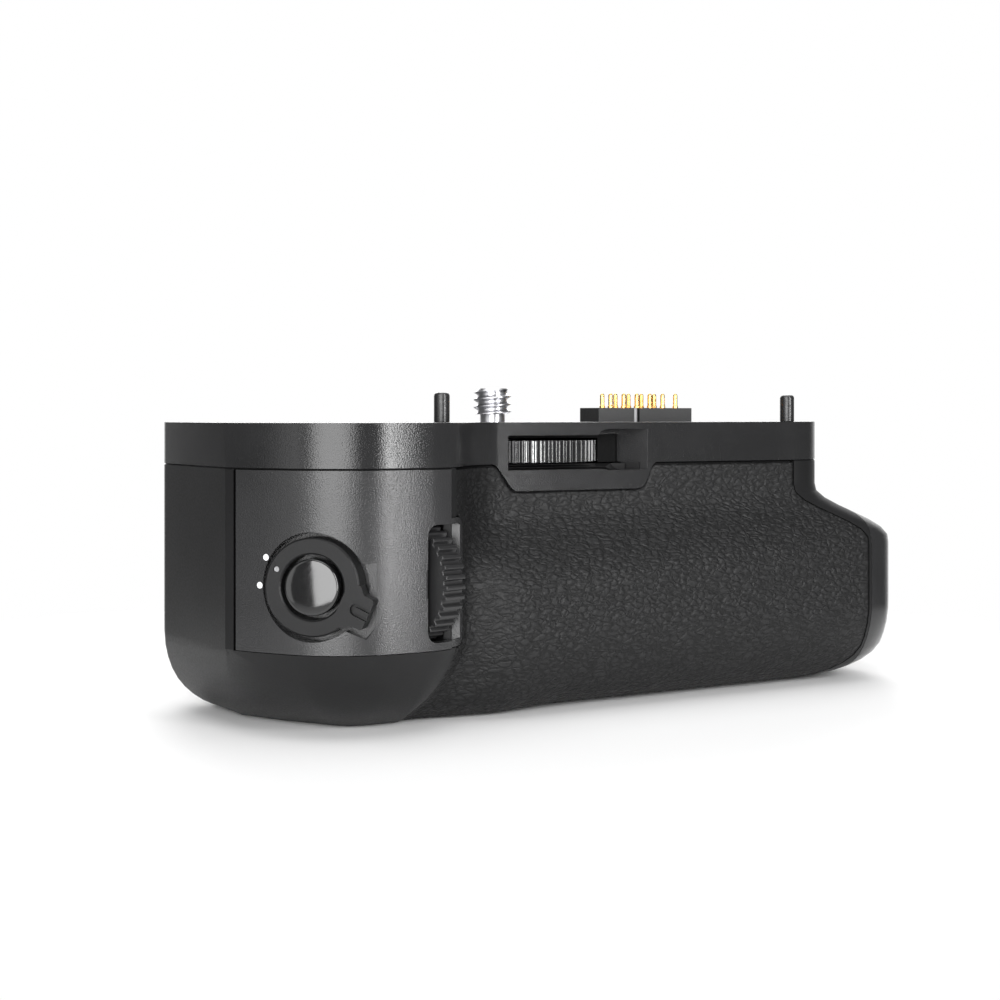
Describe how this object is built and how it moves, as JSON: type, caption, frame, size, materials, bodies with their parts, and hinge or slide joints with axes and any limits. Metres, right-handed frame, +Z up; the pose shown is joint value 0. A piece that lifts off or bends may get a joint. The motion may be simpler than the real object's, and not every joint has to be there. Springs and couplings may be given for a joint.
{
  "type": "camera battery grip",
  "caption": "Vertical camera battery grip with a sprung shutter release in a lock ring, ribbed dials, a thumb wheel with camera screw, a pinned connector and a battery tray.",
  "frame": {"origin": "mouth of the tripod socket in the middle of the base, on the camera screw's axis", "axes": "+X along the length to the battery end, +Y to the rear, +Z up to the camera"},
  "size_m": [0.1262, 0.0531, 0.0516],
  "materials": {
    "casing_plastic": "fine satin texture",
    "panel_plastic": "satin",
    "grip_rubber": "pebbled",
    "gloss_black": "polished",
    "control_plastic": "satin",
    "steel": "turned",
    "screw_steel": "bright",
    "pin_black": "black finish",
    "connector_plastic": "plain",
    "gold": "gold plated",
    "board": "coated board",
    "inner_plastic": "plain",
    "fastener": "black finish"
  },
  "bodies": {
    "casing": {"lower_casing": "casing_plastic", "top_plate": "casing_plastic", "shutter_panel": "panel_plastic", "grip_skin": "grip_rubber", "thumb_skin": "grip_rubber", "button_spring": "steel", "shutter_switch": "inner_plastic", "front_dial_axle": "steel", "rear_dial_axle": "steel", "rear_board": "board", "wheel_bush": "steel", "chassis_plate": "fastener", "guide_pins": "pin_black", "connector_block": "connector_plastic", "connector_pins": "gold", "circuit_board": "board", "tripod_socket": "steel", "case_screws": "fastener", "battery_contacts": "inner_plastic"},
    "shutter_button": {"shutter_button": "gloss_black"},
    "lock_ring": {"lock_ring": "panel_plastic"},
    "front_dial": {"front_dial": "control_plastic"},
    "rear_dial": {"rear_dial": "control_plastic"},
    "focus_button": {"focus_button": "control_plastic"},
    "hold_button": {"hold_button": "control_plastic"},
    "menu_button": {"menu_button": "control_plastic"},
    "attachment_wheel": {"attachment_wheel": "control_plastic", "camera_screw": "screw_steel"},
    "battery_tray": {"battery_tray": "inner_plastic", "battery": "inner_plastic", "end_cap": "casing_plastic"},
    "tray_latch": {"tray_latch": "control_plastic"}
  },
  "joints": [
    {"name": "shutter_press", "type": "slide", "parent": "casing", "child": "shutter_button", "axis": [0.682, 0.7314, 0], "range_m": [0, 0.001], "stiffness_N_per_m": 600, "deforming": ["button_spring"]},
    {"name": "lock_turn", "type": "hinge", "parent": "casing", "child": "lock_ring", "pos_m": [-0.04343, -0.0234, 0.0223], "axis": [-0.682, -0.7314, 0], "range_deg": [0, 29]},
    {"name": "front_dial_turn", "type": "hinge", "parent": "casing", "child": "front_dial", "pos_m": [-0.0258, -0.02131, 0.0223], "axis": [0.9563, 0.2924, 0], "continuous": true},
    {"name": "rear_dial_turn", "type": "hinge", "parent": "casing", "child": "rear_dial", "pos_m": [-0.04, 0.0146, 0.0238], "axis": [-1, 0, 0], "continuous": true},
    {"name": "focus_press", "type": "slide", "parent": "casing", "child": "focus_button", "axis": [0, -1, 0], "range_m": [0, 0.0006], "stiffness_N_per_m": 500},
    {"name": "hold_press", "type": "slide", "parent": "casing", "child": "hold_button", "axis": [0, -1, 0], "range_m": [0, 0.0006], "stiffness_N_per_m": 500},
    {"name": "menu_press", "type": "slide", "parent": "casing", "child": "menu_button", "axis": [0, -1, 0], "range_m": [0, 0.0006], "stiffness_N_per_m": 500},
    {"name": "wheel_turn", "type": "hinge", "parent": "casing", "child": "attachment_wheel", "pos_m": [0, 0, 0.0408], "axis": [0, 0, 1], "continuous": true},
    {"name": "tray_slide", "type": "slide", "parent": "casing", "child": "battery_tray", "axis": [1, 0, 0], "range_m": [0, 0.052]},
    {"name": "latch_slide", "type": "slide", "parent": "battery_tray", "child": "tray_latch", "axis": [0, 1, 0], "range_m": [0, 0.004]}
  ]
}
